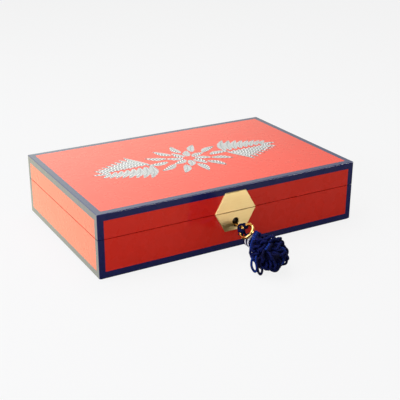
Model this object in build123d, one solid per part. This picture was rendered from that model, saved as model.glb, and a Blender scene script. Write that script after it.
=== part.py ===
from build123d import *
import math
import os

# Lacquered jewellery box: hinged lid, box lock behind a split hexagonal plate, key with a looped tassel.
# Millimetres. X to the right, Y to the back, Z up. The origin is the centre of the underside.

# Overall size
length = 318.0
depth = 204.0
height = 71.0
seam_height = 43.3
seam_gap = 0.8
edge_round = 0.8

# Boards, felt and linings
wall = 10.0
panel_thick = 5.0
panel_rebate = 5.0
lid_panel_thick = 6.0
felt_thick = 1.0
felt_inset = 0.8
felt_corner = 2.0
lining_thick = 1.6
lining_drop = 1.5
divider_thick = 3.0
divider_drop = 6.0
divider_gap = 0.2
pad_thick = 4.5
pad_round = 1.8
pad_gap = 1.0
pad_corner = 3.0

# Compartments
ring_bay_width = 96.0
front_tray_depth = 88.0
cross_share = 0.5
ring_roll_count = 9
ring_roll_height = 21.0
ring_roll_round = 8.0
ring_roll_base_round = 2.5
ring_roll_end_round = 2.0
ring_roll_gap = 0.6

# Hexagonal lock plate and its keyhole
hex_radius = 25.6
plate_thick = 1.4
plate_bevel = 0.4
prong_radius = 0.7
prong_length = 2.4
prong_gap = 0.06
prong_end_gap = 0.1
prong_side_share = 0.5
prong_upper_share = 0.62
prong_lower_share = 0.3
hole_radius = 4.1
hole_rise = 3.3
hole_slot_width = 3.8
hole_slot_depth = 3.7
wall_hole_gap = 0.4

# Key
key_drop = 15.0
shaft_radius = 1.8
shaft_reach = 15.0
bow_radius = 7.9
bow_band_radius = 1.7
bow_turn = 45.0
bit_gap = 0.2
bit_thick = 2.0
bit_length = 2.2
pilot_radius = 1.2

# Lock
lock_width = 34.0
lock_depth = 7.0
lock_drop = 8.4
case_thick = 0.8
selvedge_thick = 1.0
pocket_gap = 0.05
cover_thick = 1.0
cover_width = 42.0
cover_drop = 2.0
cover_corner = 2.0
cover_top_gap = 0.4
cover_window_gap = 0.5
cover_screw_low = 4.0
cover_screw_high = 6.0
follower_radius = 6.2
follower_thick = 1.7
journal_radius = 5.1
hub_radius = 2.4
running_gap = 0.05
keyway_gap = 0.1
keyway_floor = 0.4
key_end_gap = 0.2
end_gap = 0.3
drive_pin_radius = 0.9
drive_radius = 4.6
fork_gap = 0.25
fork_wall = 1.6
bolt_gap = 0.1
bolt_arm_height = 1.0
bolt_end_gap = 0.9
bolt_rise_gap = 0.5
staple_arm_gap = 0.35
fork_hub_gap = 0.5
rail_thick = 1.5
rail_inset = 1.5
rail_room = 1.5
nose_height = 2.0
nose_thick = 2.4
nose_gap = 0.2
staple_thick = 1.6
staple_width = 5.2
staple_foot = 0.9
staple_slot_gap = 0.4
staple_side_gap = 0.6
staple_plate_length = 24.0
staple_plate_thick = 1.2
nose_to_staple = 0.5

# Hinges
hinge_inset = 64.0
hinge_length = 34.0
barrel_radius = 2.2
barrel_offset = 2.5
hinge_pin_radius = 1.0
leaf_thick = 1.2
leaf_gap = 0.4
leaf_width = 7.2
knuckle_share = 0.32
knuckle_gap = 0.3
barrel_clear = 0.35
mortise_gap = 0.1
pin_end_gap = 0.1
pin_head_thick = 0.7
pin_head_share = 0.75

# Screws
screw_head_radius = 1.6
screw_head_height = 0.9
screw_shank_radius = 0.8
screw_length = 7.0
short_screw_length = 5.0
screw_gap = 0.05
screw_end_gap = 0.3
screw_slot_width = 0.5
screw_slot_depth = 0.4
hinge_screw_spacing = 20.0
staple_screw_spacing = 18.0

# Bumpers under the lid
bumper_radius = 3.0
bumper_inset = 5.0
bumper_gap = 0.05

# Tassel: the neck's middle and the skirt's middle, from the front face's centre line on the ground
neck_middle = (2.4, -24.2, 16.1)
skirt_middle = (1.5, -64.0, 20.0)
neck_radius = 4.45
neck_half_length = 6.6
cord_radius = 1.2
wrap_gap = 0.1
turn_gap = 0.47
dark_turns = 2.0
light_turns = 1.5
skirt_radius = 19.8
skirt_half_length = 24.5
loop_count = 24
loop_height = 7.6
loop_foot = 2.3
loop_half_width = 4.2
loop_root = 2.2
flare_radius = 11.0
flare_length = 20.0
loop_spread = (0.97, -0.72)
loop_twist = 67.0
hang_gap = 0.3
hang_spread = 1.9
hang_bend = 2.6

# Places that follow from the sizes
front = -depth / 2
back = depth / 2
side = length / 2
base_top = seam_height - seam_gap / 2
lid_bottom = seam_height + seam_gap / 2
key_height = seam_height - key_drop
lid_wall_top = height - lid_panel_thick
panel_top = felt_thick + panel_thick
floor_top = panel_top + lining_thick
inner_x = side - wall
inner_y = back - wall
clear_x = inner_x - lining_thick
clear_y = inner_y - lining_thick
lining_top = base_top - lining_drop
divider_top = base_top - divider_drop
ring_divider_x = -clear_x + ring_bay_width + divider_thick / 2
tray_divider_y = -clear_y + front_tray_depth + divider_thick / 2
tray_left = ring_divider_x + divider_thick / 2
cross_divider_x = tray_left + (clear_x - tray_left) * cross_share
plate_face = front - plate_thick
hole_height = key_height + hole_rise
bit_reach = hole_slot_depth - bit_gap
lock_back = front + wall
lock_front = lock_back - lock_depth
lock_bottom = key_height - lock_drop
cavity_front = lock_front + case_thick
selvedge_bottom = base_top - selvedge_thick
disc_front = cavity_front + end_gap
disc_back = disc_front + follower_thick
key_tip = lock_back - end_gap
bolt_bottom = key_height + follower_radius + bolt_rise_gap
bolt_top = selvedge_bottom - bolt_gap
bolt_travel = 2 * drive_radius * math.sin(math.radians(45))
drive_start = -drive_radius * math.sin(math.radians(45))
staple_middle = (cavity_front + lock_back) / 2
bolt_tail = lock_width / 2 - case_thick - bolt_end_gap
staple_bottom = bolt_bottom + bolt_arm_height + staple_arm_gap
nose_bottom = staple_bottom + staple_foot + nose_gap
hinge_axis_y = back + barrel_offset
hinge_spacing = length - 2 * hinge_inset
bow_centre = Vector(0, front - shaft_reach - bow_radius - bow_band_radius / 2, key_height)
wrap_radius = neck_radius + wrap_gap + cord_radius
turn_rise = 2 * (2 * cord_radius + turn_gap)
wrap_start = -neck_half_length + cord_radius + 0.2
wrap_end = wrap_start + dark_turns * turn_rise + cord_radius


def save(shape, node):
    export_step(shape, f"parts/{node}.step")


def block(low, high):
    """A box between two corners."""
    size = [h - l for l, h in zip(low, high)]
    middle = [(h + l) / 2 for l, h in zip(low, high)]
    return Pos(*middle) * Box(*size)


def round_bar(radius, start, end):
    """A cylinder between two points."""
    run = Vector(*end) - Vector(*start)
    return Plane(origin=start, z_dir=run) * Cylinder(
        radius, run.length, align=(Align.CENTER, Align.CENTER, Align.MIN))


def tube(path, radius):
    """A round cord along a path."""
    start = Plane(origin=path @ 0, z_dir=path % 0)
    return sweep(start * Circle(radius), path=path)


def biarc(start, start_way, end, end_way):
    """Two arcs that join two points and keep the given directions."""
    gap = end - start
    ways = start_way + end_way
    a = 2 * (start_way.dot(end_way) - 1)
    b = -2 * gap.dot(ways)
    c = gap.dot(gap)
    reach = (-b - math.sqrt(b * b - 4 * a * c)) / (2 * a)
    first = start + start_way * reach
    last = end - end_way * reach
    middle = (first + last) * 0.5
    way = (last - first).normalized()
    return [TangentArc(start, middle, tangent=start_way), TangentArc(middle, end, tangent=way)]


def screws(places, way, shank_length):
    """Countersunk slotted screws; each place is the middle of the head's face, way points into the wood."""
    group = []
    for place in places:
        frame = Plane(origin=place, z_dir=way)
        head = Cone(screw_head_radius, screw_shank_radius, screw_head_height,
                    align=(Align.CENTER, Align.CENTER, Align.MIN))
        shank = Cylinder(screw_shank_radius, shank_length, align=(Align.CENTER, Align.CENTER, Align.MIN))
        slot = Box(2.4 * screw_head_radius, screw_slot_width, 2 * screw_slot_depth)
        group.append(frame * (head + shank - slot))
    return Compound(children=group)


def screw_holes(places, way, shank_length):
    """The room that each screw takes."""
    holes = []
    for place in places:
        frame = Plane(origin=place, z_dir=way)
        head = Cone(screw_head_radius + screw_gap, screw_shank_radius + screw_gap, screw_head_height,
                    align=(Align.CENTER, Align.CENTER, Align.MIN))
        shank = Cylinder(screw_shank_radius + screw_gap, shank_length + screw_end_gap,
                         align=(Align.CENTER, Align.CENTER, Align.MIN))
        holes.append(frame * (head + shank))
    return Compound(children=holes)


# Carcass

def wall_ring(bottom, top, rebate_bottom):
    """The four walls of base or lid in one, with a rebate for the bottom board if there is one."""
    outer = Pos(0, 0, bottom) * Box(length, depth, top - bottom, align=(Align.CENTER, Align.CENTER, Align.MIN))
    outer = fillet(outer.edges().filter_by(Axis.Z), edge_round)
    ring = outer - block((-inner_x, -inner_y, bottom), (inner_x, inner_y, top))
    if rebate_bottom:
        reach_x = inner_x + panel_rebate
        reach_y = inner_y + panel_rebate
        ring -= block((-reach_x, -reach_y, bottom), (reach_x, reach_y, bottom + panel_thick))
    return ring


def mitre(ring, which):
    """One wall of the ring, cut at 45 degrees in its corners."""
    ridge = side - back
    outlines = {
        "front": [(-side, front), (side, front), (ridge, 0), (-ridge, 0)],
        "back": [(-side, back), (-ridge, 0), (ridge, 0), (side, back)],
        "left": [(-side, front), (-ridge, 0), (-side, back)],
        "right": [(side, front), (side, back), (ridge, 0)],
    }
    wedge = extrude(make_face(Polyline(*outlines[which], close=True)), height)
    return ring & wedge


def lid_panel():
    """The lid's top board, rounded along its upper edges and corners."""
    board = Pos(0, 0, lid_wall_top) * Box(
        length, depth, lid_panel_thick, align=(Align.CENTER, Align.CENTER, Align.MIN))
    edges = board.edges().filter_by(Axis.Z) + board.edges().group_by(Axis.Z)[-1]
    return fillet(edges, edge_round)


# Hexagonal plate

def hexagon(top):
    """Upper or lower half of the plate, bevelled round its rim, with prongs into the wood."""
    plate = Plane.XZ.offset(-front) * Pos(0, seam_height) * extrude(RegularPolygon(hex_radius, 6), plate_thick)
    rim = plate.faces().sort_by(Axis.Y)[0].edges()
    plate = chamfer(rim, plate_bevel)
    if top:
        half = plate & block((-side, 2 * front, lid_bottom), (side, 0, height))
    else:
        half = plate & block((-side, 2 * front, 0), (side, 0, base_top))
        half -= keyhole(plate_face - 1, front + 1, 0)
    for x, z in prong_places(top):
        half += round_bar(prong_radius, (x, front - 0.2, z), (x, front + prong_length, z))
    return half


def prong_places(top):
    """Two prongs under each half, level, at a fifth of the plate's width and more."""
    reach = hex_radius * prong_side_share
    rise = hex_radius * prong_upper_share if top else -hex_radius * prong_lower_share
    return [(-reach, seam_height + rise), (reach, seam_height + rise)]


def prong_holes(top):
    holes = [round_bar(prong_radius + prong_gap, (x, front - 1, z), (x, front + prong_length + prong_end_gap, z))
             for x, z in prong_places(top)]
    return Compound(children=holes)


def keyhole(y_start, y_end, gap):
    """A round hole with a slot below it."""
    hole = round_bar(hole_radius + gap, (0, y_start, hole_height), (0, y_end, hole_height))
    slot_half = hole_slot_width / 2 + gap
    slot_bottom = key_height - hole_slot_depth - gap
    return hole + block((-slot_half, y_start, slot_bottom), (slot_half, y_end, hole_height))


# Lock

def lock_pocket():
    reach = lock_width / 2 + pocket_gap
    return block((-reach, lock_front - pocket_gap, lock_bottom - pocket_gap), (reach, lock_back + 1, base_top + 1))


def lock_case():
    """An open-backed tray with a selvedge on top, rails for the bolt and the follower's bearing hole."""
    half = lock_width / 2
    case = block((-half, lock_front, lock_bottom), (half, lock_back, base_top))
    case -= block((-half + case_thick, cavity_front, lock_bottom + case_thick),
                  (half - case_thick, lock_back + 1, selvedge_bottom))
    slot_x = staple_thick / 2 + staple_side_gap
    slot_y = staple_width / 2 + staple_slot_gap
    case -= block((-slot_x, staple_middle - slot_y, selvedge_bottom - 1),
                  (slot_x, staple_middle + slot_y, base_top + 1))
    case -= round_bar(journal_radius + running_gap, (0, lock_front - 1, key_height), (0, cavity_front + 1, key_height))
    rail_length = half - case_thick - follower_radius - rail_room
    rail_top = bolt_bottom - bolt_gap
    for sign in (-1, 1):
        outer = sign * (half - case_thick)
        inner = outer - sign * rail_length
        case += block((min(outer, inner), cavity_front - 0.1, rail_top - rail_thick),
                      (max(outer, inner), lock_back - rail_inset, rail_top))
    return case


def cover_screw_places():
    x = (lock_width / 2 + cover_width / 2) / 2
    y = lock_back + cover_thick
    low = lock_bottom + cover_screw_low
    high = base_top - cover_screw_high
    return [(sx, y, z) for sx in (-x, x) for z in (low, high)]


def lock_cover():
    """The brass plate over the lock, inside the box."""
    half = cover_width / 2
    cover = block((-half, lock_back, lock_bottom - cover_drop), (half, lock_back + cover_thick, base_top - cover_top_gap))
    cover = fillet(cover.edges().filter_by(Axis.Y), cover_corner)
    cover -= round_bar(hub_radius + running_gap, (0, lock_back - 1, key_height), (0, lock_back + 3, key_height))
    return cover - screw_holes(cover_screw_places(), (0, -1, 0), short_screw_length)


def drive_pin_place():
    return (drive_start, key_height + drive_radius * math.cos(math.radians(45)))


def lock_follower():
    """A disc with a front journal, a keyway for the key's bit, a rear hub and an eccentric drive pin."""
    body = round_bar(follower_radius, (0, disc_front, key_height), (0, disc_back, key_height))
    body += round_bar(journal_radius, (0, lock_front + 0.1, key_height), (0, disc_front + 0.5, key_height))
    body += round_bar(hub_radius, (0, disc_back - 0.5, key_height), (0, lock_back + cover_thick, key_height))
    way = bit_reach + keyway_gap
    floor = disc_back - keyway_floor
    body -= block((-bit_thick / 2 - keyway_gap, lock_front - 1, key_height - way),
                  (bit_thick / 2 + keyway_gap, floor, key_height))
    body -= round_bar(shaft_radius + running_gap, (0, lock_front - 1, key_height), (0, floor, key_height))
    body -= round_bar(pilot_radius + running_gap, (0, lock_front, key_height), (0, key_tip + 0.1, key_height))
    x, z = drive_pin_place()
    return body + round_bar(drive_pin_radius, (x, disc_back - 0.5, z), (x, lock_back - end_gap, z))


def lock_bolt():
    """A bar above the follower: tail, low arm with a fork round the drive pin, and the nose."""
    near = disc_front
    far = lock_back - bolt_gap
    nose_start = -staple_thick / 2 - nose_to_staple
    body_end = nose_start - bolt_travel
    arm_top = bolt_bottom + bolt_arm_height
    pin_x, pin_z = drive_pin_place()
    fork_half = drive_pin_radius + fork_gap
    arm_end = pin_x + fork_half + fork_wall
    bolt = block((-bolt_tail, near, bolt_bottom), (body_end, far, bolt_top))
    bolt += block((-bolt_tail, near, bolt_bottom), (arm_end, far, arm_top))
    bolt += block((body_end - 1, staple_middle - nose_thick / 2, nose_bottom),
                  (nose_start, staple_middle + nose_thick / 2, nose_bottom + nose_height))
    fork_near = disc_back + end_gap
    fork_low = key_height + hub_radius + fork_hub_gap
    outer = block((pin_x - fork_half - fork_wall, fork_near, fork_low), (arm_end, far, bolt_bottom))
    room = block((pin_x - fork_half, fork_near - 1, fork_low - 1),
                 (pin_x + fork_half, far + 1, key_height + drive_radius + drive_pin_radius + fork_gap))
    return bolt + outer - room


def staple_screw_places():
    x = staple_screw_spacing / 2
    return [(-x, staple_middle, lid_bottom), (x, staple_middle, lid_bottom)]


def staple_recess(gap):
    half = staple_plate_length / 2 + gap
    return block((-half, lock_front - gap, lid_bottom - 1), (half, lock_back + 1, lid_bottom + staple_plate_thick))


def lock_staple():
    """A plate under the lid's front wall with a loop that drops into the lock."""
    half = staple_plate_length / 2
    plate = block((-half, lock_front, lid_bottom), (half, lock_back, lid_bottom + staple_plate_thick))
    plate -= screw_holes(staple_screw_places(), (0, 0, 1), screw_length)
    loop = block((-staple_thick / 2, staple_middle - staple_width / 2, staple_bottom),
                 (staple_thick / 2, staple_middle + staple_width / 2, lid_bottom + 0.5))
    window_half = nose_thick / 2 + nose_gap
    loop -= block((-staple_thick, staple_middle - window_half, staple_bottom + staple_foot),
                  (staple_thick, staple_middle + window_half, nose_bottom + nose_height + nose_gap))
    return plate + loop


# Hinges

def hinge_leaf(x, upper):
    """A leaf with its knuckles: the outer two on the base leaf, the middle one on the lid leaf."""
    sign = 1 if upper else -1
    near = seam_height + sign * leaf_gap / 2
    far = near + sign * leaf_thick
    low, high = min(near, far), max(near, far)
    edge = hinge_axis_y - barrel_radius - barrel_clear
    half = hinge_length / 2
    leaf = block((x - half, edge - leaf_width, low), (x + half, edge, high))
    outer_knuckle = hinge_length * knuckle_share
    if upper:
        spans = [(x - half + outer_knuckle + knuckle_gap, x + half - outer_knuckle - knuckle_gap)]
    else:
        spans = [(x - half, x - half + outer_knuckle), (x + half - outer_knuckle, x + half)]
    for start, end in spans:
        leaf += block((start, edge - 0.5, low), (end, hinge_axis_y, high))
        leaf += round_bar(barrel_radius, (start, hinge_axis_y, seam_height), (end, hinge_axis_y, seam_height))
    leaf -= round_bar(hinge_pin_radius + running_gap, (x - half - 1, hinge_axis_y, seam_height),
                      (x + half + 1, hinge_axis_y, seam_height))
    return leaf - screw_holes(hinge_screw_places(x, upper), (0, 0, sign), screw_length)


def hinge_pin(x):
    """A pin with a small head at each end."""
    half = hinge_length / 2
    pin = round_bar(hinge_pin_radius, (x - half - 0.2, hinge_axis_y, seam_height),
                    (x + half + 0.2, hinge_axis_y, seam_height))
    for sign in (-1, 1):
        start = x + sign * (half + pin_end_gap)
        pin += round_bar(barrel_radius * pin_head_share, (start, hinge_axis_y, seam_height),
                         (start + sign * pin_head_thick, hinge_axis_y, seam_height))
    return pin


def hinge_screw_places(x, upper):
    sign = 1 if upper else -1
    y = hinge_axis_y - barrel_radius - barrel_clear - leaf_width / 2
    z = seam_height + sign * leaf_gap / 2
    return [(x - hinge_screw_spacing / 2, y, z), (x + hinge_screw_spacing / 2, y, z)]


def hinge_mortise(x, upper):
    sign = 1 if upper else -1
    half = hinge_length / 2 + mortise_gap
    near = hinge_axis_y - barrel_radius - barrel_clear - leaf_width - mortise_gap
    floor = seam_height + sign * (leaf_gap / 2 + leaf_thick)
    mouth = seam_height
    return block((x - half, near, min(floor, mouth)), (x + half, back + 1, max(floor, mouth)))


# Linings and inner parts

def lining_strip(which, bottom, top):
    """One lining board against a wall; front and back run full length, the sides between them."""
    spans = {
        "front": ((-inner_x, -inner_y), (inner_x, -clear_y)),
        "back": ((-inner_x, clear_y), (inner_x, inner_y)),
        "left": ((-inner_x, -clear_y), (-clear_x, clear_y)),
        "right": ((clear_x, -clear_y), (inner_x, clear_y)),
    }
    (x0, y0), (x1, y1) = spans[which]
    return block((x0, y0, bottom), (x1, y1, top))


def ring_roll(y, width):
    """One padded roll along X, round on top and softened at its ends."""
    run = ring_bay_width - 2 * divider_gap
    roll = Pos(-clear_x + divider_gap + run / 2, y, floor_top + ring_roll_height / 2) * Box(
        run, width, ring_roll_height)
    top = roll.edges().filter_by(Axis.X).group_by(Axis.Z)[-1]
    roll = fillet(top, min(ring_roll_round, width * 0.45))
    low = roll.edges().filter_by(Axis.X).group_by(Axis.Z)[0]
    roll = fillet(low, ring_roll_base_round)
    ends = roll.faces().filter_by(Axis.X)
    return fillet(ends.edges(), ring_roll_end_round)


def ring_rolls():
    pitch = 2 * clear_y / ring_roll_count
    first = -clear_y + pitch / 2
    return Compound(children=[ring_roll(first + n * pitch, pitch - ring_roll_gap) for n in range(ring_roll_count)])


def lid_pad():
    """A padded board under the lid's top, crowned at its rim."""
    reach_x = clear_x - pad_gap
    reach_y = clear_y - pad_gap
    pad = block((-reach_x, -reach_y, lid_wall_top - pad_thick), (reach_x, reach_y, lid_wall_top))
    pad = fillet(pad.edges().filter_by(Axis.Z), pad_corner)
    return fillet(pad.edges().group_by(Axis.Z)[0], pad_round)


# Key and tassel

def key_stem():
    """Shaft with its pilot and bit, hollowed where the bow is let in."""
    inner_end = disc_back - keyway_floor - key_end_gap
    stem = round_bar(shaft_radius, (0, front - shaft_reach, key_height), (0, inner_end, key_height))
    stem += round_bar(pilot_radius, (0, inner_end - 1, key_height), (0, key_tip, key_height))
    stem += block((-bit_thick / 2, inner_end - bit_length, key_height - bit_reach),
                  (bit_thick / 2, inner_end, key_height))
    return stem - bow_ring()


def bow_ring():
    plane = Plane(origin=bow_centre, z_dir=(math.cos(math.radians(bow_turn)), 0, -math.sin(math.radians(bow_turn))))
    return plane * Torus(bow_radius, bow_band_radius)


def hang_cord():
    """A loop of cord over the key's shaft behind the bow, both ends in the tassel's neck."""
    ring_back = bow_centre.Y + bow_radius + bow_band_radius
    y = ring_back + hang_gap + cord_radius
    x = shaft_radius + hang_gap + cord_radius
    z = key_height + x
    neck = tassel_plane()
    left_end = neck.from_local_coords(Vector(-hang_spread, 0, -neck_half_length))
    right_end = neck.from_local_coords(Vector(hang_spread, 0, -neck_half_length))
    run = (y - left_end.Y) / -neck.z_dir.Y
    left_out = left_end - neck.z_dir * run
    right_out = right_end - neck.z_dir * run
    shoulder = key_height - x
    points = [left_end, left_out, Vector(-x, y, shoulder), Vector(-x, y, z), Vector(x, y, z),
              Vector(x, y, shoulder), right_out, right_end]
    radii = [hang_bend, 2 * hang_bend, x - 0.1, x - 0.1, 2 * hang_bend, hang_bend]
    print("hang cord radii", [round(r, 1) for r in radii])
    path = FilletPolyline(*points, radius=radii)
    print("hang cord length", round(path.length, 1))
    return tube(path, cord_radius)


def tassel_plane():
    """The tassel's own frame: its z runs from the neck's middle to the skirt's middle."""
    start = Vector(neck_middle[0], front + neck_middle[1], neck_middle[2])
    end = Vector(skirt_middle[0], front + skirt_middle[1], skirt_middle[2])
    return Plane(origin=start, x_dir=(1, 0, 0), z_dir=end - start)


def helix_point(angle, first):
    height_now = first + turn_rise * angle / (2 * math.pi)
    return Vector(wrap_radius * math.cos(angle), wrap_radius * math.sin(angle), height_now)


def helix_way(angle):
    rise = turn_rise / (2 * math.pi)
    return Vector(-wrap_radius * math.sin(angle), wrap_radius * math.cos(angle), rise).normalized()


def winding(turns, first, start_angle):
    """Cord wound round the neck: quarter turns of a helix, in biarcs."""
    quarters = round(turns * 4)
    lift = first - turn_rise * start_angle / (2 * math.pi)
    edges = []
    for n in range(quarters):
        a = start_angle + n * math.pi / 2
        b = a + math.pi / 2
        edges += biarc(helix_point(a, lift), helix_way(a), helix_point(b, lift), helix_way(b))
    return tassel_plane() * tube(Wire(edges), cord_radius)


def egg(radius, half_length, middle):
    """An ellipsoid of revolution about the tassel's axis."""
    outline = Pos(0, 0, middle) * (Rot(90, 0, 0) * Ellipse(radius, half_length))
    half = outline & block((0, -1, middle - 2 * half_length), (2 * radius, 1, middle + 2 * half_length))
    return revolve(half, Axis.Z, 360)


def loop_frames(middle):
    """Where each loop stands on the skirt: its place and outward way, spread by equal turns."""
    golden = math.pi * (3 - math.sqrt(5))
    top, bottom = loop_spread
    frames = []
    for n in range(loop_count):
        lift = top + (bottom - top) * n / (loop_count - 1)
        ring = math.sqrt(1 - lift * lift)
        turn = n * golden
        spot = Vector(skirt_radius * ring * math.cos(turn), skirt_radius * ring * math.sin(turn),
                      middle + skirt_half_length * lift)
        way = Vector(ring * math.cos(turn) / skirt_radius, ring * math.sin(turn) / skirt_radius,
                     lift / skirt_half_length)
        frames.append((spot, way.normalized(), math.radians(n * loop_twist)))
    return frames


def loop_path(spot, way, twist):
    """One loop: out of the core, round its end and back in."""
    helper = Vector(0, 0, 1) if abs(way.Z) < 0.9 else Vector(1, 0, 0)
    across = way.cross(helper).normalized()
    other = way.cross(across).normalized()
    across = across * math.cos(twist) + other * math.sin(twist)
    root = spot - way * (loop_height + loop_root)
    tip = spot - way * cord_radius
    points = [root - across * loop_foot, tip - across * loop_half_width,
              tip + across * loop_half_width, root + across * loop_foot]
    return FilletPolyline(*points, radius=loop_half_width * 0.8)


def tassel_skirt():
    """Neck, core and loops in one solid."""
    plane = tassel_plane()
    start = Vector(neck_middle[0], neck_middle[1], neck_middle[2])
    end = Vector(skirt_middle[0], skirt_middle[1], skirt_middle[2])
    middle = (end - start).length
    core = egg(skirt_radius - loop_height, skirt_half_length - loop_height, middle)
    core += round_bar(neck_radius, (0, 0, -neck_half_length), (0, 0, middle))
    core += Pos(0, 0, wrap_end + hang_gap) * Cone(
        neck_radius, flare_radius, flare_length, align=(Align.CENTER, Align.CENTER, Align.MIN))
    paths = [loop_path(*frame) for frame in loop_frames(middle)]
    print("least gap between loops", round(least_gap(paths), 2))
    loops = [tube(path, cord_radius) for path in paths]
    return plane * (core.fuse(*loops))


def least_gap(paths):
    """The least clear distance between the outer stretches of different loops, on points."""
    rows = []
    for path in paths:
        rows.append([path @ (0.18 + 0.64 * n / 40) for n in range(41)])
    least = 1e9
    for i, first in enumerate(rows):
        for second in rows[i + 1:]:
            for a in first:
                for b in second:
                    least = min(least, (a - b).length)
    return least - 2 * cord_radius


def winding_gap():
    """The least clear distance between neighbouring turns of the two windings."""
    slope = math.atan(turn_rise / (2 * math.pi * wrap_radius))
    return turn_rise / 2 * math.cos(slope) - 2 * cord_radius


def main():
    os.makedirs("parts", exist_ok=True)
    base_ring = wall_ring(felt_thick, base_top, True)
    lid_ring = wall_ring(lid_bottom, lid_wall_top, False)
    hinge_xs = {"left": -hinge_spacing / 2, "right": hinge_spacing / 2}

    # Base walls
    front_wall = mitre(base_ring, "front") - lock_pocket() - prong_holes(False)
    front_wall -= keyhole(front - 1, lock_back, wall_hole_gap)
    front_wall -= screw_holes(cover_screw_places(), (0, -1, 0), short_screw_length)
    save(front_wall, "base_front_wall")
    back_wall = mitre(base_ring, "back")
    for x in hinge_xs.values():
        back_wall -= hinge_mortise(x, False)
        back_wall -= screw_holes(hinge_screw_places(x, False), (0, 0, -1), screw_length)
    save(back_wall, "base_back_wall")
    save(mitre(base_ring, "left"), "base_left_wall")
    save(mitre(base_ring, "right"), "base_right_wall")
    panel_x = inner_x + panel_rebate
    panel_y = inner_y + panel_rebate
    save(block((-panel_x, -panel_y, felt_thick), (panel_x, panel_y, panel_top)), "base_panel")
    felt = block((-side + felt_inset, front + felt_inset, 0), (side - felt_inset, back - felt_inset, felt_thick))
    save(fillet(felt.edges().filter_by(Axis.Z), felt_corner), "base_felt")

    # Lid walls and top
    lid_front = mitre(lid_ring, "front") - staple_recess(pocket_gap) - prong_holes(True)
    lid_front -= screw_holes(staple_screw_places(), (0, 0, 1), screw_length)
    save(lid_front, "lid_front_wall")
    lid_back = mitre(lid_ring, "back")
    for x in hinge_xs.values():
        lid_back -= hinge_mortise(x, True)
        lid_back -= screw_holes(hinge_screw_places(x, True), (0, 0, 1), screw_length)
    save(lid_back, "lid_back_wall")
    save(mitre(lid_ring, "left"), "lid_left_wall")
    save(mitre(lid_ring, "right"), "lid_right_wall")
    save(lid_panel(), "lid_top_panel")

    # Hinges
    for name, x in hinge_xs.items():
        save(hinge_leaf(x, False), f"{name}_hinge_base_leaf")
        save(hinge_leaf(x, True), f"{name}_hinge_lid_leaf")
        save(hinge_pin(x), f"{name}_hinge_pin")
    base_places = [place for x in hinge_xs.values() for place in hinge_screw_places(x, False)]
    lid_places = [place for x in hinge_xs.values() for place in hinge_screw_places(x, True)]
    save(screws(base_places, (0, 0, -1), screw_length), "hinge_base_screws")
    save(screws(lid_places, (0, 0, 1), screw_length), "hinge_lid_screws")

    # Lock and its plate
    save(hexagon(False), "lower_lock_plate")
    save(hexagon(True), "upper_lock_plate")
    save(lock_case(), "lock_case")
    save(lock_cover(), "lock_cover")
    save(screws(cover_screw_places(), (0, -1, 0), short_screw_length), "lock_cover_screws")
    save(lock_follower(), "lock_follower")
    save(lock_bolt(), "lock_bolt")
    save(lock_staple(), "lock_staple")
    save(screws(staple_screw_places(), (0, 0, 1), screw_length), "staple_screws")

    # Bumpers
    bumper_x = side - bumper_inset
    bumpers = [round_bar(bumper_radius, (x, front + bumper_inset, base_top),
                         (x, front + bumper_inset, lid_bottom - bumper_gap)) for x in (-bumper_x, bumper_x)]
    save(Compound(children=bumpers), "lid_bumpers")

    # Linings of base and lid
    save(block((-inner_x, -inner_y, panel_top), (inner_x, inner_y, floor_top)), "floor_lining")
    cover_half = cover_width / 2 + cover_window_gap
    cover_low = lock_bottom - cover_drop - cover_window_gap
    window = block((-cover_half, front, cover_low), (cover_half, 0, height))
    save(lining_strip("front", floor_top, lining_top) - window, "front_lining")
    for which in ("back", "left", "right"):
        save(lining_strip(which, floor_top, lining_top), f"{which}_lining")
    for which in ("front", "back", "left", "right"):
        save(lining_strip(which, lid_bottom + lining_drop, lid_wall_top), f"lid_{which}_lining")
    save(lid_pad(), "lid_pad")

    # Dividers and ring rolls
    half_divider = divider_thick / 2
    reach_y = clear_y - divider_gap
    save(block((ring_divider_x - half_divider, -reach_y, floor_top),
               (ring_divider_x + half_divider, reach_y, divider_top)), "ring_bay_divider")
    save(block((tray_left + divider_gap, tray_divider_y - half_divider, floor_top),
               (clear_x - divider_gap, tray_divider_y + half_divider, divider_top)), "long_divider")
    save(block((cross_divider_x - half_divider, tray_divider_y + half_divider + divider_gap, floor_top),
               (cross_divider_x + half_divider, reach_y, divider_top)), "cross_divider")
    save(ring_rolls(), "ring_rolls")

    # Key and tassel
    save(key_stem(), "key_stem")
    save(bow_ring(), "key_bow")
    save(hang_cord(), "hang_cord")
    save(winding(dark_turns, wrap_start, 0.0), "wrap_dark")
    save(winding(light_turns, wrap_start + turn_rise * 3 / 8, -math.pi / 4), "wrap_light")
    print("least gap between turns", round(winding_gap(), 2))
    save(tassel_skirt(), "tassel_skirt")
    print("bolt travel", round(bolt_travel, 4))


main()
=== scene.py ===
import bpy
import math
import random
from mathutils import Matrix, Vector


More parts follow.
